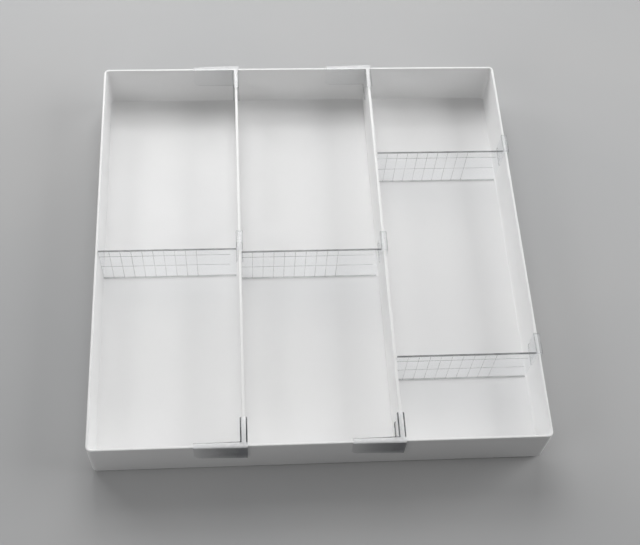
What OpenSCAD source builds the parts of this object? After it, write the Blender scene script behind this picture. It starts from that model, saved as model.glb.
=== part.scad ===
// Drawer organizer insert: an open tray, two long dividers held down by end clips,
// and four clear cross dividers that hook over a rim and slide along it.
// Millimetres. +X is to the right, +Y to the rear, +Z up.
// The origin is the middle of the tray's underside.

/* [Tray] */
// Outside width of the tray
tray_w = 400; // [340:1:480]
// Outside depth of the tray, front to rear
tray_d = 410; // [380:1:520]
// Height of the rim above the surface the tray rests on
tray_h = 51; // [40:1:90]
// Thickness of the walls and the floor
wall_t = 2.2; // [1.6:0.1:2.6]
// Outside radius of the bottom edges and of the upright corners
edge_r = 5; // [4.5:0.5:10]
// Inside radius where the floor meets the walls
foot_r = 1.2; // [0.5:0.1:1.5]
// Radius on both edges of the rim
rim_r = 0.7; // [0.3:0.1:0.7]

/* [Long dividers] */
// Thickness of a long divider
long_t = 2.6; // [2:0.1:3.4]
// Centre line of the left long divider, from the tray's middle
long_left_x = -67; // [-80:0.5:-60]
// Centre line of the right long divider, from the tray's middle
long_right_x = 68.5; // [60:0.5:80]
// Radius of a long divider's bottom corners
long_corner_r = 3.5; // [3:0.5:12]

/* [Cross dividers] */
// Thickness of a cross divider
cross_t = 1.8; // [1.4:0.1:2.2]
// Middle plane of the cross divider in the left column
cross_left_y = -11; // [-11:1:40]
// Middle plane of the cross divider in the middle column
cross_middle_y = -14.6; // [-60:0.2:-14.6]
// Middle plane of the rear cross divider in the right column
cross_rear_y = 95.6; // [60:0.2:140]
// Middle plane of the front cross divider in the right column
cross_front_y = -125.9; // [-150:0.1:-110]
// Spacing of the snap-off scores, from the cut end
score_pitch = 10; // [8:1:20]
// Distance from the top edge down to the upper lengthwise score
score_upper = 9; // [6:1:14]
// Distance from the top edge down to the lower lengthwise score
score_lower = 27; // [20:1:32]
// Depth of a score
score_depth = 0.35; // [0.2:0.05:0.5]
// Width of a score
score_w = 0.5; // [0.3:0.1:0.8]
// Shortest stretch beside the hook that has no upright scores
plain_end = 34; // [20:1:50]

/* [Hooks and clips] */
// Thickness of a hook's or a clip's walls
clip_t = 1.6; // [1.2:0.1:2]
// Height of a hook or a clip, from its top down to the ends of its legs
clip_drop = 24; // [14:1:30]
// Length of a hook along the rim that it sits on
hook_len = 21; // [14:1:26]
// Length of an end clip along the tray's rim
clip_len = 46; // [30:1:55]
// Length of an end clip's channel over the long divider
channel_len = 24; // [16:1:30]
// How much thinner an end clip gets towards its free end
clip_taper = 0.9; // [0.2:0.1:1]

/* [Hidden] */
$fn = 64;

// Room between pieces that lift or slide past each other
gap = 0.3;
// Room at a cross divider's cut end, and under it
cut_gap = 0.6;
// Extra length that takes a cutting tool clear of a face
over = 1;
// Radius at the open end of a hook or channel
hook_r = 1.2;
// Radius at the lower corner of a hook's or channel's legs
leg_r = 4;
// Plain stretch between a lengthwise score and the hook
score_stop = 6;

// Inside faces of the tray
inside_x = tray_w / 2 - wall_t;
inside_y = tray_d / 2 - wall_t;
// Middle planes of the right wall and the front wall
right_wall_x = tray_w / 2 - wall_t / 2;
front_wall_y = -tray_d / 2 + wall_t / 2;
// Underside and top of the web that joins a hook's two legs
web_under = tray_h + gap;
web_top = web_under + clip_t;
leg_end = web_top - clip_drop;
// Underside of a cross divider
cross_under = wall_t + cut_gap;
cross_h = web_top - cross_under;

// Half the outside width of a hook that fits over a rim of thickness t
function hook_half(t) = t / 2 + gap + clip_t;

// Section of a wall and its rounded foot, with the foot's outer arc centred on x = 0
module wall_section() {
  inner = edge_r - wall_t;
  difference() {
    union() {
      intersection() {
        translate([0, edge_r]) circle(r = edge_r);
        square(edge_r);
      }
      translate([inner, edge_r]) square([wall_t, tray_h - edge_r - rim_r]);
    }
    translate([-over, wall_t + foot_r]) square([inner + over, tray_h]);
    translate([-over, wall_t]) square([inner - foot_r + over, foot_r + over]);
    translate([inner - foot_r, wall_t + foot_r]) circle(r = foot_r);
  }
  translate([inner + rim_r, tray_h - 2 * rim_r]) square([wall_t - 2 * rim_r, 2 * rim_r]);
  for (x = [inner + rim_r, edge_r - rim_r]) {
    translate([x, tray_h - rim_r]) circle(r = rim_r);
  }
}

// Upright plate in the Y-Z plane with both bottom corners rounded, extruded along X
module rounded_plate(thickness, len, height, r) {
  rotate([90, 0, 90]) linear_extrude(thickness, center = true) {
    translate([-len / 2, r]) square([len, height - r]);
    translate([-len / 2 + r, 0]) square([len - 2 * r, r]);
    for (side = [-1, 1]) {
      translate([side * (len / 2 - r), r]) circle(r = r);
    }
  }
}

// Block that a hook or channel is cut from, from y = 0 to its open end at y = len
module hook_block(rim_t, len) {
  half = hook_half(rim_t);
  intersection() {
    translate([0, 0, leg_end]) linear_extrude(clip_drop) {
      translate([-half, 0]) square([2 * half, len - hook_r]);
      translate([-half + hook_r, len - 2 * hook_r]) square([2 * (half - hook_r), 2 * hook_r]);
      for (side = [-1, 1]) {
        translate([side * (half - hook_r), len - hook_r]) circle(r = hook_r);
      }
    }
    rotate([90, 0, 90]) linear_extrude(2 * half + over, center = true) {
      translate([0, leg_end]) square([len - leg_r, clip_drop]);
      translate([0, leg_end + leg_r]) square([len, clip_drop - leg_r]);
      translate([len - leg_r, leg_end + leg_r]) circle(r = leg_r);
    }
  }
}

// Slot for a rim of thickness t that runs along Y
module rim_slot(t, y_from, y_to) {
  width = t + 2 * gap;
  translate([-width / 2, y_from, leg_end - over]) cube([width, y_to - y_from, web_under - leg_end + over]);
}

// Open tray: a flat floor, four walls and four round corners
module tray() {
  floor_w = tray_w - 2 * edge_r;
  floor_d = tray_d - 2 * edge_r;
  color("white") {
    translate([-floor_w / 2, -floor_d / 2, 0]) cube([floor_w, floor_d, wall_t]);
    for (side = [0:3]) {
      along_y = side % 2 == 0;
      reach = along_y ? floor_w / 2 : floor_d / 2;
      run = along_y ? floor_d : floor_w;
      rotate([0, 0, 90 * side]) translate([reach, run / 2, 0]) {
        rotate([90, 0, 0]) linear_extrude(run) wall_section();
        rotate_extrude(angle = 90) wall_section();
      }
    }
  }
}

// Opaque divider that runs the whole depth of the tray
module long_divider(x) {
  color("whitesmoke") translate([x, 0, wall_t + gap])
    rounded_plate(long_t, 2 * (inside_y - gap), tray_h - wall_t - gap, long_corner_r);
}

// L-shaped clip for the front end of the long divider at x.
// Its saddle sits over the tray's rim and its channel over the divider.
module end_clip(x) {
  half = hook_half(long_t);
  x_right = x + half;
  x_left = x_right - clip_len;
  y_out = front_wall_y - hook_half(wall_t);
  y_in = front_wall_y + hook_half(wall_t);
  color("lightblue", 0.6) difference() {
    union() {
      translate([x, y_out, 0]) hook_block(long_t, channel_len + y_in - y_out - clip_t);
      saddle_block(x_left, x - half, y_out, y_in);
    }
    rotate([0, 0, -90]) translate([-front_wall_y, 0, 0]) rim_slot(wall_t, x_left - over, x_right + over);
    translate([x, 0, 0]) rim_slot(long_t, front_wall_y, y_in + channel_len);
  }
}

// Solid bar over the front rim from x_left to x_right, thinner towards x_left
module saddle_block(x_left, x_right, y_out, y_in) {
  intersection() {
    translate([0, 0, leg_end]) linear_extrude(clip_drop)
      polygon([[x_left, y_out + clip_taper], [x_right, y_out], [x_right, y_in], [x_left, y_in]]);
    translate([0, y_in, 0]) rotate([90, 0, 0]) linear_extrude(y_in - y_out)
      polygon([
        [x_left, leg_end + leg_r],
        [x_left + leg_r, leg_end],
        [x_right, leg_end],
        [x_right, web_top],
        [x_left, web_top - clip_taper]
      ]);
  }
}

// Clear divider from its cut end at x_cut to a hook over the rim centred at rim_x
module cross_divider(x_cut, rim_x, rim_t, y) {
  plate_end = rim_x - hook_half(rim_t);
  plate_len = plate_end - x_cut;
  face_y = y - cross_t / 2;
  color("lightblue", 0.5) difference() {
    union() {
      translate([x_cut, face_y, cross_under]) cube([plate_len, cross_t, cross_h]);
      translate([rim_x, face_y, 0]) hook_block(rim_t, hook_len);
    }
    translate([rim_x, 0, 0]) rim_slot(rim_t, face_y - over, face_y + hook_len + over);
    scores(x_cut, plate_len, face_y);
  }
}

// Snap-off scores: shallow grooves in a cross divider's front face
module scores(x_cut, plate_len, face_y) {
  for (x = [score_pitch:score_pitch:plate_len - plain_end]) {
    translate([x_cut + x - score_w / 2, face_y - over, cross_under - over])
      cube([score_w, over + score_depth, cross_h + 2 * over]);
  }
  for (drop = [score_upper, score_lower]) {
    translate([x_cut - over, face_y - over, web_top - drop - score_w / 2])
      cube([plate_len - score_stop + over, over + score_depth, score_w]);
  }
}

module long_divider_left() {
  long_divider(long_left_x);
}

module long_divider_right() {
  long_divider(long_right_x);
}

module end_clip_front_left() {
  end_clip(long_left_x);
}

module end_clip_rear_left() {
  mirror([0, 1, 0]) end_clip(long_left_x);
}

module end_clip_front_right() {
  end_clip(long_right_x);
}

module end_clip_rear_right() {
  mirror([0, 1, 0]) end_clip(long_right_x);
}

module cross_divider_left() {
  cross_divider(-inside_x + cut_gap, long_left_x, long_t, cross_left_y);
}

module cross_divider_middle() {
  cross_divider(long_left_x + long_t / 2 + cut_gap, long_right_x, long_t, cross_middle_y);
}

module cross_divider_right_rear() {
  cross_divider(long_right_x + long_t / 2 + cut_gap, right_wall_x, wall_t, cross_rear_y);
}

module cross_divider_right_front() {
  cross_divider(long_right_x + long_t / 2 + cut_gap, right_wall_x, wall_t, cross_front_y);
}

tray();
long_divider_left();
long_divider_right();
end_clip_front_left();
end_clip_rear_left();
end_clip_front_right();
end_clip_rear_right();
cross_divider_left();
cross_divider_middle();
cross_divider_right_rear();
cross_divider_right_front();
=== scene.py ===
import math

import bmesh
import bpy
from mathutils import Matrix, Vector


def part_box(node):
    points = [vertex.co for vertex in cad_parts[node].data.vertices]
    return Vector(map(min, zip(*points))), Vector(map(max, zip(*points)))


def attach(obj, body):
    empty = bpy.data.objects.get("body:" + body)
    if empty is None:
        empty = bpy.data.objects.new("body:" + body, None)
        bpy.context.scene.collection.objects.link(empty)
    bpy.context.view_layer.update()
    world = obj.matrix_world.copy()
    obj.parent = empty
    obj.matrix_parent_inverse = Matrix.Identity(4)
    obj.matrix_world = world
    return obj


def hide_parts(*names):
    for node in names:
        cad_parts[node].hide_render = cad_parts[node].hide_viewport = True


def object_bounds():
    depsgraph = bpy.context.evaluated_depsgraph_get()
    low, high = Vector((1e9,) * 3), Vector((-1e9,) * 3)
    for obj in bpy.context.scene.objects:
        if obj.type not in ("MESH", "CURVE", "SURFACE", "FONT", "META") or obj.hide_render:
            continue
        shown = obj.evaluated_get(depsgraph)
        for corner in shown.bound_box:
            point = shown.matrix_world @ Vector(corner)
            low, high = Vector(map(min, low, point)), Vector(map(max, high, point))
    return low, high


# The looks of a drawer organizer insert: white tray, two long dividers, clear clips and cross dividers.
# Metres throughout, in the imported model's frame: +X right, +Y to the rear, +Z up.

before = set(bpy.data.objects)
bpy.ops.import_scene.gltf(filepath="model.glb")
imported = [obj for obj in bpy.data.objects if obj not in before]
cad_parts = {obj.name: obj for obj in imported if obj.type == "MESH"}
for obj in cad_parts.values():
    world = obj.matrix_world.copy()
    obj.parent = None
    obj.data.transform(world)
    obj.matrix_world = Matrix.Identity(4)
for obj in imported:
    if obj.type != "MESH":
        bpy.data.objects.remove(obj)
CAD_LOW, CAD_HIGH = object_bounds()
MM = 0.001
# Edges that turn by more than this many degrees count as sharp, and by less than FLAT as flat
SHARP = 35.0
FLAT = 1.0


# ---------------------------------------------------------------- camera
CAMERA_HEADING = 8.37
CAMERA_ELEVATION = 60.12
CAMERA_ROLL = 6.06
CAMERA_DISTANCE = 1.102
CAMERA_LENS = 63.56
CAMERA_SENSOR = 36.0
# Where the optical axis meets the surface that the tray stands on
CAMERA_AIM = Vector((0.0108, -0.0083, 0.0))


def add_camera():
    """Looks at CAMERA_AIM the way the photo was taken."""
    heading, elevation, roll = map(math.radians, (CAMERA_HEADING, CAMERA_ELEVATION, CAMERA_ROLL))
    forward = Vector((
        math.sin(heading) * math.cos(elevation),
        math.cos(heading) * math.cos(elevation),
        -math.sin(elevation),
    ))
    level = forward.cross(Vector((0, 0, 1))).normalized()
    upright = level.cross(forward)
    right = level * math.cos(roll) + upright * math.sin(roll)
    up = upright * math.cos(roll) - level * math.sin(roll)
    data = bpy.data.cameras.new("camera")
    data.lens = CAMERA_LENS
    data.sensor_width = CAMERA_SENSOR
    camera = bpy.data.objects.new("camera", data)
    turn = Matrix((right, up, -forward)).transposed().to_4x4()
    camera.matrix_world = Matrix.Translation(CAMERA_AIM - forward * CAMERA_DISTANCE) @ turn
    bpy.context.scene.collection.objects.link(camera)
    bpy.context.scene.camera = camera


# ---------------------------------------------------------------- materials
# Colours of the two white mouldings, each as its lighter and its darker patches
TRAY_TONES = ((0.875, 0.875, 0.872), (0.85, 0.85, 0.852))
DIVIDER_TONES = ((0.885, 0.885, 0.88), (0.86, 0.86, 0.86))
SPECK_TONE = (0.55, 0.54, 0.52)
WORN_TONE = (0.93, 0.93, 0.925)
WHITE_ROUGHNESS = 0.42
WHITE_IOR = 1.46
# How far below the rim the rubbing starts, and from where it is at full strength
WORN_BAND = (1.6 * MM, 0.2 * MM)

# Colours of the clear mouldings: broad faces, a painted highlight on the tops, painted shade on the edges,
# and painted shade on the legs outside a wall
SHEET_TONE = (0.80, 0.81, 0.82)
TOP_HIGHLIGHT_TONE = (0.90, 0.91, 0.92)
PAINTED_SHADE_TONE = (0.05, 0.055, 0.06)
LEG_SHADE_TONE = (0.10, 0.11, 0.13)
SHEET_ROUGHNESS = 0.14
CLEAR_IOR = 1.49
# Name of the mesh attribute that runs from 0 at a clip's free end to 1 at the long divider, along which the
# painted shade thins towards the free end
REACH = "reach"


class Nodes:
    """Short calls for building one material's node tree."""

    def __init__(self, name):
        self.material = bpy.data.materials.new(name)
        self.material.use_nodes = True
        self.tree = self.material.node_tree
        self.tree.nodes.clear()
        self.out = self.add("ShaderNodeOutputMaterial")
        self.place = self.add("ShaderNodeTexCoord").outputs["Object"]

    def add(self, kind, **settings):
        node = self.tree.nodes.new(kind)
        for key, value in settings.items():
            setattr(node, key, value)
        return node

    def put(self, socket, value):
        """Links an input to an output, or sets it to a value."""
        if isinstance(value, bpy.types.NodeSocket):
            self.tree.links.new(value, socket)
        else:
            socket.default_value = value

    def feed(self, node, **values):
        """Puts values into inputs by name, with _ for a space."""
        for key, value in values.items():
            self.put(node.inputs[key.replace("_", " ")], value)
        return node

    def noise(self, scale, detail=3.0, rough=0.5, stretch=(1, 1, 1)):
        mapping = self.feed(self.add("ShaderNodeMapping"), Vector=self.place, Scale=stretch)
        node = self.add("ShaderNodeTexNoise")
        self.feed(node, Vector=mapping.outputs[0], Scale=scale, Detail=detail, Roughness=rough)
        return node.outputs["Fac"]

    def ramp(self, value, low, high, to_low=0.0, to_high=1.0):
        node = self.add("ShaderNodeMapRange")
        self.feed(node, Value=value, From_Min=low, From_Max=high, To_Min=to_low, To_Max=to_high)
        return node.outputs[0]

    def math(self, operation, a, b):
        node = self.add("ShaderNodeMath", operation=operation)
        self.put(node.inputs[0], a)
        self.put(node.inputs[1], b)
        return node.outputs[0]

    def mix(self, factor, a, b):
        """Mixes two colours."""
        node = self.add("ShaderNodeMix", data_type="RGBA")
        for key, value in (("Factor_Float", factor), ("A_Color", a), ("B_Color", b)):
            self.put(next(s for s in node.inputs if s.identifier == key), value)
        return next(s for s in node.outputs if s.identifier == "Result_Color")

    def bump(self, height, strength, distance, normal=None):
        node = self.feed(self.add("ShaderNodeBump"), Height=height, Strength=strength, Distance=distance)
        if normal is not None:
            self.put(node.inputs["Normal"], normal)
        return node.outputs[0]

    def blend(self, factor, first, second):
        """Blends two shaders."""
        node = self.add("ShaderNodeMixShader")
        for socket, value in zip(node.inputs, (factor, first.outputs[0], second.outputs[0])):
            self.put(socket, value)
        return node

    def finish(self, shader):
        self.put(self.out.inputs["Surface"], shader.outputs[0])
        return self.material


def rgb(tone, gain=1.0):
    """An opaque colour, made lighter by a gain."""
    return (*(min(1.0, part * gain) for part in tone), 1.0)


def white_plastic(name, tones, rim_z):
    """Satin moulded plastic: uneven tone, fine grain, faint scuffs and a rubbed rim."""
    n = Nodes(name)
    cloud = n.ramp(n.noise(9.0, 4.0), 0.3, 0.7)
    tone = n.mix(cloud, rgb(tones[0]), rgb(tones[1]))
    specks = n.ramp(n.noise(900.0, 2.0), 0.66, 0.8)
    tone = n.mix(n.math("MULTIPLY", specks, 0.10), tone, rgb(SPECK_TONE))
    scuffs = n.ramp(n.noise(60.0, 5.0, 0.7, (0.25, 2.2, 1)), 0.6, 0.75)
    height = n.feed(n.add("ShaderNodeSeparateXYZ"), Vector=n.place)
    near_rim = n.ramp(height.outputs["Z"], *(rim_z - drop for drop in WORN_BAND))
    worn = n.math("MULTIPLY", near_rim, n.ramp(n.noise(130.0, 4.0, 0.65), 0.42, 0.62))
    tone = n.mix(n.math("MULTIPLY", worn, 0.35), tone, rgb(WORN_TONE))
    satin = n.ramp(n.noise(35.0, 3.0), 0.3, 0.7, WHITE_ROUGHNESS - 0.06, WHITE_ROUGHNESS + 0.08)
    rough = n.math("ADD", satin, n.math("MULTIPLY", scuffs, 0.12))
    rough = n.math("SUBTRACT", rough, n.math("MULTIPLY", worn, 0.12))
    grain = n.bump(n.noise(2600.0, 2.0), 0.18, 0.05 * MM)
    waves = n.bump(n.noise(14.0, 2.0), 0.25, 0.25 * MM, grain)
    shader = n.add("ShaderNodeBsdfPrincipled")
    n.feed(shader, Base_Color=tone, Roughness=rough, Normal=waves, IOR=WHITE_IOR, Sheen_Weight=0.0)
    return n.finish(shader)


def clear_sheet(name, tone, haze_and_highlight, rubbed=0.6, glance=0.5, loss=0.015):
    """The faces of clear plastic: see-through, with a soft shine, a light cloudiness and fine rub marks. A
    strong cloudiness in a light tone paints a highlight on the tops of hooks and clips.

    Rub marks add up to the share rubbed of the cloudiness. A face seen square on mirrors the share loss of
    the light, and one seen edge-on the share glance."""
    n = Nodes(name)
    rubs = n.ramp(n.noise(70.0, 4.0, 0.7, (1.6, 1, 0.35)), 0.5, 0.72)
    dust = n.mix(n.ramp(n.noise(300.0, 3.0), 0.4, 0.7), rgb(tone), rgb(tone, 1.2))
    body = n.add("ShaderNodeBsdfPrincipled")
    matt = n.ramp(rubs, 0.0, 1.0, SHEET_ROUGHNESS + 0.1, SHEET_ROUGHNESS + 0.3)
    n.feed(body, Base_Color=dust, Roughness=matt, IOR=CLEAR_IOR)
    shine = n.add("ShaderNodeBsdfGlossy")
    n.feed(shine, Roughness=SHEET_ROUGHNESS, Normal=n.bump(n.noise(24.0, 2.0), 0.1, 0.1 * MM))
    through = n.feed(n.add("ShaderNodeBsdfTransparent"), Color=(1 - loss / 2, 1 - loss / 4, 1.0, 1.0))
    turned = n.feed(n.add("ShaderNodeLayerWeight"), Blend=0.5)
    grazing = n.math("POWER", turned.outputs["Facing"], 5.0)
    mirrored = n.math("ADD", n.math("MULTIPLY", grazing, glance), loss)
    clear = n.blend(mirrored, through, shine)
    seen = n.ramp(rubs, 0.0, 1.0, haze_and_highlight, haze_and_highlight * (1 + rubbed))
    return n.finish(n.blend(seen, clear, body))


def clear_painted_shade(name, tone, alpha, spread=0.08, patches=95.0, faded=None):
    """Painted shade on clear plastic: a dark, partly see-through colour that stands in for the darkness
    that edges, scores and outlines show from refraction and shade.

    Alpha varies by the spread, in patches of a noise scale. With faded, it falls to that share towards the
    thin free end of a clip."""
    n = Nodes(name)
    uneven = n.noise(160.0, 3.0, 0.6)
    shader = n.add("ShaderNodeBsdfPrincipled")
    colour = n.mix(n.ramp(uneven, 0.3, 0.7), rgb(tone), rgb(tone, 1.5))
    n.feed(shader, Base_Color=colour, IOR=CLEAR_IOR, Roughness=n.ramp(uneven, 0.3, 0.7, 0.12, 0.3))
    dense = n.ramp(n.noise(patches, 3.0), 0.3, 0.7, alpha - spread, alpha + spread)
    if faded is not None:
        reach = n.add("ShaderNodeAttribute", attribute_name=REACH).outputs["Fac"]
        dense = n.math("MULTIPLY", dense, n.ramp(reach, 0.0, 1.0, faded, 1.0))
    n.feed(shader, Alpha=dense)
    return n.finish(shader)


def cross_materials():
    """A cross divider's materials, in the order SHEET, LINE, WEB, EDGE, SCORE."""
    return [
        clear_sheet("cross_sheet", SHEET_TONE, haze_and_highlight=0.008),
        # Painted shade for outlines, top edges and scores
        clear_painted_shade("cross_line_painted_shade", PAINTED_SHADE_TONE, alpha=0.32),
        # Painted highlight: a strong light cloudiness on the up-facing hook tops
        clear_sheet("cross_web_painted_highlight", TOP_HIGHLIGHT_TONE, haze_and_highlight=0.18, rubbed=0.2),
        clear_painted_shade("cross_edge_painted_shade", PAINTED_SHADE_TONE, alpha=0.70),
        clear_painted_shade("cross_score_painted_shade", PAINTED_SHADE_TONE, alpha=0.36, spread=0.16, patches=60.0),
    ]


def clip_materials():
    """An end clip's materials for each end of the tray, in the order SHEET, LINE, WEB, LEG_SHADE."""
    sheet = clear_sheet("clip_sheet", SHEET_TONE, haze_and_highlight=0.006, glance=0.2, loss=0.004)
    # Painted highlight: a strong light cloudiness on the up-facing clip tops
    web = clear_sheet("clip_web_painted_highlight", TOP_HIGHLIGHT_TONE, haze_and_highlight=0.4, rubbed=0.15)
    # Painted shade on the outlines, denser on the front clips than on the rear ones
    front_line = clear_painted_shade("clip_line_painted_shade_front", PAINTED_SHADE_TONE, alpha=0.88, faded=0.3)
    # Painted shade on the outer legs outside the wall, denser on the front clips than on the rear ones
    front_leg_shade = clear_painted_shade("clip_leg_painted_shade_front", LEG_SHADE_TONE, alpha=0.34, spread=0.04, faded=0.15)
    rear_line = clear_painted_shade("clip_line_painted_shade_rear", PAINTED_SHADE_TONE, alpha=0.25, faded=0.3)
    rear_leg_shade = clear_painted_shade("clip_leg_painted_shade_rear", LEG_SHADE_TONE, alpha=0.12, spread=0.03, faded=0.3)
    return {"front": [sheet, front_line, web, front_leg_shade], "rear": [sheet, rear_line, web, rear_leg_shade]}


# ---------------------------------------------------------------- pieces from meshes
# Vertices closer than these are one: in a mesh built here, and in a copy of a CAD mesh
BUILT_WELD = 0.001 * MM
COPY_WELD = 0.002 * MM


def new_piece(name, bm, body, materials, node):
    """Makes a piece from a bmesh. It rides on a body and stands for a CAD node."""
    mesh = bpy.data.meshes.new(name)
    bmesh.ops.recalc_face_normals(bm, faces=bm.faces)
    for face in bm.faces:
        face.smooth = True
    for edge in bm.edges:
        edge.smooth = len(edge.link_faces) == 2 and edge.calc_face_angle(0.0) < math.radians(SHARP)
    bm.to_mesh(mesh)
    bm.free()
    piece = bpy.data.objects.new(name, mesh)
    bpy.context.scene.collection.objects.link(piece)
    for material in materials:
        mesh.materials.append(material)
    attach(piece, body)
    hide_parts(node)
    return piece


def cad_copy(node):
    """A bmesh of a CAD node, welded, with its flat faces made whole."""
    bm = bmesh.new()
    bm.from_mesh(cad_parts[node].data)
    bmesh.ops.remove_doubles(bm, verts=bm.verts, dist=COPY_WELD)
    bmesh.ops.dissolve_limit(bm, angle_limit=math.radians(FLAT), verts=bm.verts, edges=bm.edges)
    return bm


# ---------------------------------------------------------------- tray
WALL = 2.2 * MM
# Radii of the outside corners and foot, of the rim and of the inner foot
EDGE_R = 5.0 * MM
RIM_R = 0.7 * MM
FOOT_R = 1.2 * MM
# Steps along each arc of the section, and round each upright corner
EDGE_STEPS = 10
RIM_STEPS = 5
FOOT_STEPS = 6
CORNER_STEPS = 10


def arc(centre_in, centre_z, radius, start, end, steps):
    """Points (inset, z) on an arc. Angle 0 points inward and 90 degrees up."""
    points = []
    for i in range(steps + 1):
        a = math.radians(start + (end - start) * i / steps)
        points.append((centre_in + radius * math.cos(a), centre_z + radius * math.sin(a)))
    return points


def tray_section(height):
    """The section as (inset from the outside face, z), from the underside over the rim to the floor."""
    foot = arc(EDGE_R, EDGE_R, EDGE_R, 270, 180, EDGE_STEPS)
    rim = arc(RIM_R, height - RIM_R, RIM_R, 180, 90, RIM_STEPS)
    rim += arc(WALL - RIM_R, height - RIM_R, RIM_R, 90, 0, RIM_STEPS)
    inner_foot = arc(WALL + FOOT_R, WALL + FOOT_R, FOOT_R, 180, 270, FOOT_STEPS)
    return foot + rim + inner_foot


def tray_ring(bm, low, high, inset, z):
    """One closed loop of vertices round the tray, with round corners that shrink with the inset."""
    radius = max(EDGE_R - inset, 0.0)
    ring = []
    for corner in range(4):
        cx = (low.x + EDGE_R) if corner in (1, 2) else (high.x - EDGE_R)
        cy = (low.y + EDGE_R) if corner in (2, 3) else (high.y - EDGE_R)
        for step in range(CORNER_STEPS + 1):
            a = math.radians(90.0 * (corner + step / CORNER_STEPS))
            ring.append(bm.verts.new((cx + radius * math.cos(a), cy + radius * math.sin(a), z)))
    return ring


def build_tray(material):
    """The section led round the tray, closed by one face below and one for the floor inside."""
    low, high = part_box("tray")
    bm = bmesh.new()
    rings = [tray_ring(bm, low, high, inset, z + low.z) for inset, z in tray_section(high.z - low.z)]
    count = len(rings[0])
    for lower, upper in zip(rings, rings[1:]):
        for i in range(count):
            j = (i + 1) % count
            bm.faces.new((lower[i], lower[j], upper[j], upper[i]))
    bm.faces.new(rings[0])
    bm.faces.new(rings[-1])
    bmesh.ops.remove_doubles(bm, verts=bm.verts, dist=BUILT_WELD)
    bmesh.ops.dissolve_degenerate(bm, edges=bm.edges, dist=BUILT_WELD)
    new_piece("tray_moulding", bm, "tray", [material], "tray")


# ---------------------------------------------------------------- long dividers
LONG_T = 2.6 * MM
LONG_ROUND = 0.5 * MM
LONG_ROUND_STEPS = 3


def build_long_divider(side, material):
    """A copy of the CAD's divider with softened edges."""
    node = f"long_divider_{side}"
    piece = new_piece(f"{node}_plate", cad_copy(node), f"long_{side}", [material], node)
    bevel = piece.modifiers.new("moulded_edges", "BEVEL")
    bevel.width = LONG_ROUND
    bevel.segments = LONG_ROUND_STEPS
    bevel.limit_method = "ANGLE"
    bevel.angle_limit = math.radians(SHARP)
    bevel.harden_normals = True


# ---------------------------------------------------------------- clear pieces
CLIP_T = 1.6 * MM
CROSS_T = 1.8 * MM
GAP = 0.3 * MM
SCORE_PITCH = 10.0 * MM
# Distances of the two lengthwise scores below the top edge
SCORE_DROPS = (9.0 * MM, 27.0 * MM)
SCORE_W = 0.5 * MM
SCORE_DEPTH = 0.35 * MM
# The least length without upright scores at a plate's hook end
PLAIN_END = 34.0 * MM
# How far before the hook the lengthwise scores begin to run out
SCORE_STOP = 6.0 * MM
# Keeps a count of scores that comes out whole from falling to the number below
COUNT_SLACK = 1e-6
# How far before the hook the scored plate is welded on
WELD = 0.5 * MM
EDGE_ROUND = 0.3 * MM
ROUND_STEPS = 3
# Widths of the painted shade outlines that legs show from above: those of a hook, of a clip beside a
# divider, and of a clip along the wall
HOOK_LINE_W = 0.7 * MM
CLIP_LINE_W = 1.3 * MM
RIM_LINE_W = 0.8 * MM
# How steeply a face must look up or down to show the outline
LINE_TILT = 0.35
# Vertices this close to a cutting plane are taken to lie on it
CUT_REACH = 0.0005 * MM
# Material indices: three on every clear piece, two more on a cross divider and one more on a clip
# The line, edge and score faces carry painted shade, the web faces a painted highlight, and a clip's outer
# leg painted shade
SHEET, LINE, WEB = 0, 1, 2
EDGE, SCORE = 3, 4
# The outer leg of a clip, which carries painted shade
LEG_SHADE = 3


def round_edges(bm):
    """Rounds every sharp edge."""
    sharp = [e for e in bm.edges if len(e.link_faces) == 2 and e.calc_face_angle(0.0) > math.radians(SHARP)]
    bmesh.ops.bevel(bm, geom=sharp, offset=EDGE_ROUND, offset_type="OFFSET", segments=ROUND_STEPS,
                    profile=0.5, affect="EDGES", clamp_overlap=True)


def split(bm, point, normal, keep_all=True):
    """Cuts along a plane. Without keep_all, what lies behind the plane goes and the cut stays open."""
    geometry = list(bm.verts) + list(bm.edges) + list(bm.faces)
    bmesh.ops.bisect_plane(bm, geom=geometry, dist=CUT_REACH, plane_co=point, plane_no=normal,
                           clear_inner=not keep_all)


def paint(bm, material, chosen):
    """Gives a material to the faces for which chosen(centre, normal) is true."""
    bm.normal_update()
    for face in bm.faces:
        if chosen(face.calc_center_median(), face.normal):
            face.material_index = material


def groove_lines(places):
    """Grid lines with their depths: flat, bottom and flat again at each groove."""
    lines = []
    for place in places:
        lines += [(place - SCORE_W / 2, 0.0), (place, SCORE_DEPTH), (place + SCORE_W / 2, 0.0)]
    return lines


def score_cuts(top):
    """The grid lines of the lengthwise scores below a top edge, as a depth for each height."""
    return dict(groove_lines([top - drop for drop in SCORE_DROPS]))


def rounded_falls(low, high):
    """The grid lines at two rounded edges, as how far the faces fall back at each height."""
    turns = [math.radians(90.0 * i / ROUND_STEPS) for i in range(ROUND_STEPS + 1)]
    falls = [(EDGE_ROUND * (1 - math.sin(a)), EDGE_ROUND * (1 - math.cos(a))) for a in turns]
    start = {low + inset: fall for inset, fall in reversed(falls)}
    end = {high - inset: fall for inset, fall in falls}
    return {**start, **end}


def score_columns(low, high):
    """The grid lines along a plate, as (x, depth), with the uprights counted from the cut end."""
    count = int((high - low - PLAIN_END) / SCORE_PITCH + COUNT_SLACK)
    columns = groove_lines([low + SCORE_PITCH * (i + 1) for i in range(count)])
    stop = high - SCORE_STOP
    columns += [(low, 0.0), (stop, 0.0), (stop + SCORE_W, 0.0), (high - WELD, 0.0)]
    return sorted(columns)


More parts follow.
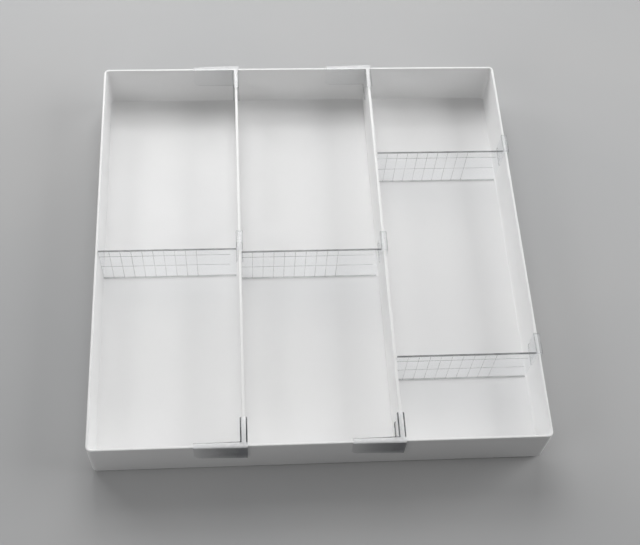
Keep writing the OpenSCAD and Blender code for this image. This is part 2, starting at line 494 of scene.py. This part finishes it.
def scored_plate(bm, low, high):
    """A plate in the X-Z plane, open where it is welded on, just before high.x.

    V grooves cross its front face, and its top and bottom edges are rounded."""
    columns = score_columns(low.x, high.x)
    stop = high.x - SCORE_STOP
    cuts = score_cuts(high.z)
    falls = rounded_falls(low.z, high.z)
    rows = sorted({**cuts, **falls})
    front, back = [], []
    for x, column_depth in columns:
        cut_here = x <= stop + SCORE_W / 2
        front.append([])
        back.append([])
        for z in rows:
            fall = falls.get(z, 0.0)
            groove = max(column_depth, cuts.get(z, 0.0) if cut_here else 0.0)
            front[-1].append(bm.verts.new((x, low.y + max(groove, fall), z)))
            back[-1].append(bm.verts.new((x, high.y - fall, z)))

    def face(corners, material):
        bm.faces.new(corners).material_index = material

    last_column, last_row = len(columns) - 1, len(rows) - 1
    for i in range(last_column):
        in_column = max(columns[i][1], columns[i + 1][1]) > 0
        for j in range(last_row):
            rounded = falls.get(rows[j], 0.0) + falls.get(rows[j + 1], 0.0) > 0
            # Rounded top faces get the denser painted shade of the edge material, rounded bottom faces and
            # the ends the fainter painted shade of the line material, and grooves the painted shade of the
            # score material
            border = EDGE if j > last_row / 2 else LINE
            in_row = max(cuts.get(rows[j], 0.0), cuts.get(rows[j + 1], 0.0)) > 0
            grooved = in_column or (in_row and columns[i + 1][0] <= stop + SCORE_W)
            material = border if rounded else SCORE if grooved else SHEET
            face((front[i][j], front[i + 1][j], front[i + 1][j + 1], front[i][j + 1]), material)
            material = border if rounded else SHEET
            face((back[i][j + 1], back[i + 1][j + 1], back[i + 1][j], back[i][j]), material)
        face((front[i][last_row], front[i + 1][last_row], back[i + 1][last_row], back[i][last_row]), EDGE)
        face((back[i][0], back[i + 1][0], front[i + 1][0], front[i][0]), LINE)
    for j in range(last_row):
        face((front[0][j], front[0][j + 1], back[0][j + 1], back[0][j]), LINE)


def build_cross_divider(node, body, rim_t, materials):
    """The hook is cut from a copy of the CAD, and the plate is built afresh up to it."""
    low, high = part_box(node)
    half = rim_t / 2 + GAP + CLIP_T
    rim_x = high.x - half
    plate_end = rim_x - half
    line_x = half - HOOK_LINE_W
    line_y = high.y - HOOK_LINE_W
    bm = cad_copy(node)
    split(bm, (plate_end - WELD, 0, 0), (1, 0, 0), keep_all=False)
    round_edges(bm)
    for x in (plate_end, rim_x - line_x, rim_x + line_x):
        split(bm, (x, 0, 0), (1, 0, 0))
    split(bm, (0, line_y, 0), (0, 1, 0))
    for z in score_cuts(high.z):
        split(bm, (0, 0, z), (0, 0, 1))
    # Painted highlight on the hook's up-facing web
    paint(bm, WEB, lambda at, to: to.z > LINE_TILT and abs(at.x - rim_x) < line_x)
    # Painted shade on the hook's outlines and on the plate's top edge
    paint(bm, LINE, lambda at, to: abs(to.z) > LINE_TILT and (abs(at.x - rim_x) > line_x or at.y > line_y))
    paint(bm, EDGE, lambda at, to: to.z > LINE_TILT and at.x < plate_end)
    scored_plate(bm, low, Vector((plate_end, low.y + CROSS_T, high.z)))
    bmesh.ops.remove_doubles(bm, verts=bm.verts, dist=BUILT_WELD)
    new_piece(f"{node}_clear", bm, body, materials, node)


def build_end_clip(end, side, divider_x, materials):
    """A copy of the CAD's clip, cut so that its outlines and outer leg can carry painted shade and its top
    a painted highlight.
    """
    node = f"end_clip_{end}_{side}"
    low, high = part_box(node)
    inward = 1 if end == "front" else -1
    wall_half = WALL / 2 + GAP + CLIP_T
    wall_y = low.y + wall_half if end == "front" else high.y - wall_half
    outside_y = WALL / 2 + GAP
    line_x = LONG_T / 2 + GAP + CLIP_T - CLIP_LINE_W
    line_y = wall_half - RIM_LINE_W
    bm = cad_copy(node)
    round_edges(bm)
    for x in (divider_x - line_x, divider_x + line_x):
        split(bm, (x, 0, 0), (1, 0, 0))
    for depth in (line_y, -outside_y):
        split(bm, (0, wall_y + inward * depth, 0), (0, 1, 0))

    def on_line(at, to):
        depth = (at.y - wall_y) * inward
        beside_divider = abs(at.x - divider_x) > line_x and depth > line_y
        along_wall = line_y < depth < wall_half and at.x - divider_x < line_x
        return abs(to.z) > LINE_TILT and (beside_divider or along_wall)

    # Painted highlight on every up-facing face of the clip
    paint(bm, WEB, lambda at, to: to.z > LINE_TILT)
    # Painted shade on the outlines beside the divider and along the wall
    paint(bm, LINE, on_line)
    # Painted shade on the outer leg outside the wall
    paint(bm, LEG_SHADE, lambda at, to: (wall_y - at.y) * inward > outside_y and to.z < LINE_TILT)
    reach = bm.verts.layers.float.new(REACH)
    for vert in bm.verts:
        vert[reach] = min((vert.co.x - low.x) / (divider_x - low.x), 1.0)
    new_piece(f"{node}_clear", bm, f"clip_{end}_{side}", materials, node)


# ---------------------------------------------------------------- studio
FLOOR_SIZE = 12.0
# How far the floor lies below the tray
FLOOR_DROP = 0.2 * MM
FLOOR_TONES = ((0.44, 0.445, 0.45), (0.47, 0.47, 0.47))
# Distances from the tray's middle between which the floor fades out
FLOOR_FADE = (0.5, 1.4)
# Strength of the background as a light, and as it is seen
WORLD_LIGHT = 0.04
WORLD_SEEN = 0.42
# Name, place, side length and power in watts of each soft box
SOFT_BOXES = (
    ("rear", (0.0, 1.13, 0.65), 1.0, 8.0),
    ("right", (1.13, 0.0, 0.65), 1.0, 10.0),
    ("rear_overhead", (-0.1, 0.6, 0.9), 0.5, 3.0),
    ("front_left", (-0.6, -0.5, 0.6), 0.5, 1.8),
    ("rear_left", (-0.7, 0.6, 0.6), 0.5, 2.8),
)


def add_light(name, place, size, power):
    """A square soft box aimed at the middle of the tray."""
    place = Vector(place)
    data = bpy.data.lights.new(name, "AREA")
    data.size = size
    data.energy = power
    light = bpy.data.objects.new(name, data)
    light.matrix_world = Matrix.Translation(place) @ (-place).to_track_quat("-Z", "Y").to_matrix().to_4x4()
    bpy.context.scene.collection.objects.link(light)


def floor_material():
    """Matt pale paper that fades out into the background well away from the tray."""
    n = Nodes("studio_floor")
    tone = n.mix(n.ramp(n.noise(3.0, 3.0), 0.3, 0.7), rgb(FLOOR_TONES[0]), rgb(FLOOR_TONES[1]))
    far = n.add("ShaderNodeVectorMath", operation="LENGTH")
    n.put(far.inputs[0], n.place)
    shader = n.add("ShaderNodeBsdfPrincipled")
    fade = n.ramp(far.outputs["Value"], *FLOOR_FADE, 1.0, 0.0)
    n.feed(shader, Base_Color=tone, Roughness=0.8, Specular_IOR_Level=0.2, Alpha=fade)
    return n.finish(shader)


def add_world():
    """Hardly lights the tray, but stands behind it as a pale background."""
    world = bpy.data.worlds.new("studio")
    world.use_nodes = True
    nodes, links = world.node_tree.nodes, world.node_tree.links
    background = nodes["Background"]
    background.inputs["Color"].default_value = (1.0, 1.0, 1.0, 1.0)
    seen = nodes.new("ShaderNodeLightPath").outputs["Is Camera Ray"]
    strength = nodes.new("ShaderNodeMapRange")
    strength.inputs["To Min"].default_value = WORLD_LIGHT
    strength.inputs["To Max"].default_value = WORLD_SEEN
    links.new(seen, strength.inputs["Value"])
    links.new(strength.outputs[0], background.inputs["Strength"])
    bpy.context.scene.world = world


def add_studio():
    """The floor, the background and the soft boxes, none of it part of the insert."""
    bpy.ops.mesh.primitive_plane_add(size=FLOOR_SIZE, location=(0, 0, CAD_LOW.z - FLOOR_DROP))
    floor = bpy.context.object
    floor.name = "studio_floor"
    floor.data.materials.append(floor_material())
    add_world()
    for box in SOFT_BOXES:
        add_light(*box)
    bpy.context.scene.view_settings.view_transform = "Standard"


# ---------------------------------------------------------------- the whole scene
# Node, body and thickness of the rim under the hook of each cross divider
CROSS_DIVIDERS = (
    ("cross_divider_left", "cross_left", LONG_T),
    ("cross_divider_middle", "cross_middle", LONG_T),
    ("cross_divider_right_rear", "cross_right_rear", WALL),
    ("cross_divider_right_front", "cross_right_front", WALL),
)


def main():
    add_camera()
    add_studio()
    rim_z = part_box("tray")[1].z
    tray_white = white_plastic("tray_white", TRAY_TONES, rim_z)
    divider_white = white_plastic("divider_white", DIVIDER_TONES, rim_z)
    build_tray(tray_white)
    for side in ("left", "right"):
        build_long_divider(side, divider_white)
    cross = cross_materials()
    for node, body, rim_t in CROSS_DIVIDERS:
        build_cross_divider(node, body, rim_t, cross)
    clips = clip_materials()
    for side in ("left", "right"):
        low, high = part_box(f"long_divider_{side}")
        for end, materials in clips.items():
            build_end_clip(end, side, (low.x + high.x) / 2, materials)


main()
